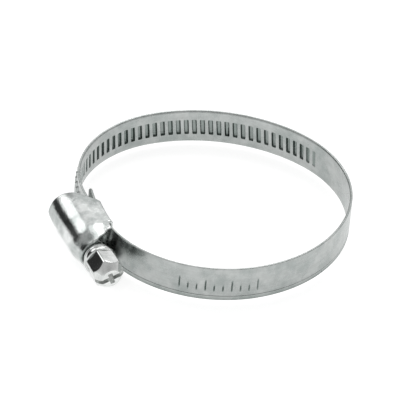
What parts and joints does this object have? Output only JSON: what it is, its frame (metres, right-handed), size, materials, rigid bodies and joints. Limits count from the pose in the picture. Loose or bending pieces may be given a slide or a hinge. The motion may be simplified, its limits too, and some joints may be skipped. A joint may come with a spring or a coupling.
{
  "type": "worm-drive hose clamp",
  "caption": "Worm-drive hose clamp: a steel band with a pressed thread, its ends held in a domed housing with a slotted hex-head screw that draws the loop closed.",
  "frame": {"origin": "middle of the hose that the loop surrounds, halfway across the band", "axes": "+Z along the hose; the housing is on the -Y side; +X is the way the screw points, towards its head"},
  "size_m": [0.0655, 0.0721, 0.0106],
  "materials": {
    "band_steel": "satin zinc plate",
    "housing_steel": "satin zinc plate",
    "screw_steel": "bright zinc plate"
  },
  "bodies": {
    "housing_and_fixed_end": {"housing": "housing_steel", "band_fixed_end": "band_steel"},
    "band_section_1": {"band_section_1": "band_steel"},
    "band_section_2": {"band_section_2": "band_steel"},
    "band_section_3": {"band_section_3": "band_steel"},
    "band_section_4": {"band_section_4": "band_steel"},
    "band_section_5": {"band_section_5": "band_steel"},
    "band_section_6": {"band_section_6": "band_steel"},
    "band_tail": {"band_tail": "band_steel"},
    "worm_screw": {"worm_screw": "screw_steel"}
  },
  "joints": [
    {"name": "worm_turn", "type": "hinge", "parent": "housing_and_fixed_end", "child": "worm_screw", "pos_m": [0.00235, -0.03571, 0], "axis": [-1, 0, 0], "range_deg": [0, 1440]},
    {"name": "band_bend_1", "type": "hinge", "parent": "housing_and_fixed_end", "child": "band_section_1", "pos_m": [0.0176, -0.02784, 0], "axis": [0, 0, 1], "range_deg": [-5.23, 0.1]},
    {"name": "band_bend_2", "type": "hinge", "parent": "band_section_1", "child": "band_section_2", "pos_m": [0.03175, -0.00211, 0], "axis": [0, 0, 1], "range_deg": [-0.04, 2.17]},
    {"name": "band_bend_3", "type": "hinge", "parent": "band_section_2", "child": "band_section_3", "pos_m": [0.01501, 0.02689, 0], "axis": [0, 0, 1], "range_deg": [-0.08, 4.43]},
    {"name": "band_bend_4", "type": "hinge", "parent": "band_section_3", "child": "band_section_4", "pos_m": [-0.0135, 0.02689, 0], "axis": [0, 0, 1], "range_deg": [-0.05, 2.72]},
    {"name": "band_bend_5", "type": "hinge", "parent": "band_section_4", "child": "band_section_5", "pos_m": [-0.03175, -0.00472, 0], "axis": [0, 0, 1], "range_deg": [-0.01, 0.544]},
    {"name": "band_bend_6", "type": "hinge", "parent": "band_section_5", "child": "band_section_6", "pos_m": [-0.0182, -0.0282, 0], "axis": [0, 0, 1], "range_deg": [-0.02, 1.24]},
    {"name": "band_bend_7", "type": "hinge", "parent": "band_section_6", "child": "band_tail", "pos_m": [-0.00585, -0.03221, 0], "axis": [0, 0, 1], "range_deg": [-5.88, 0.11]}
  ],
  "couplings": [
    {"joint": "band_bend_1", "follows": "worm_turn", "ratio": -0.0034581},
    {"joint": "band_bend_2", "follows": "worm_turn", "ratio": 0.001435},
    {"joint": "band_bend_3", "follows": "worm_turn", "ratio": 0.002933},
    {"joint": "band_bend_4", "follows": "worm_turn", "ratio": 0.0018014},
    {"joint": "band_bend_5", "follows": "worm_turn", "ratio": 0.00036009},
    {"joint": "band_bend_6", "follows": "worm_turn", "ratio": 0.0008174},
    {"joint": "band_bend_7", "follows": "worm_turn", "ratio": -0.0038889}
  ]
}
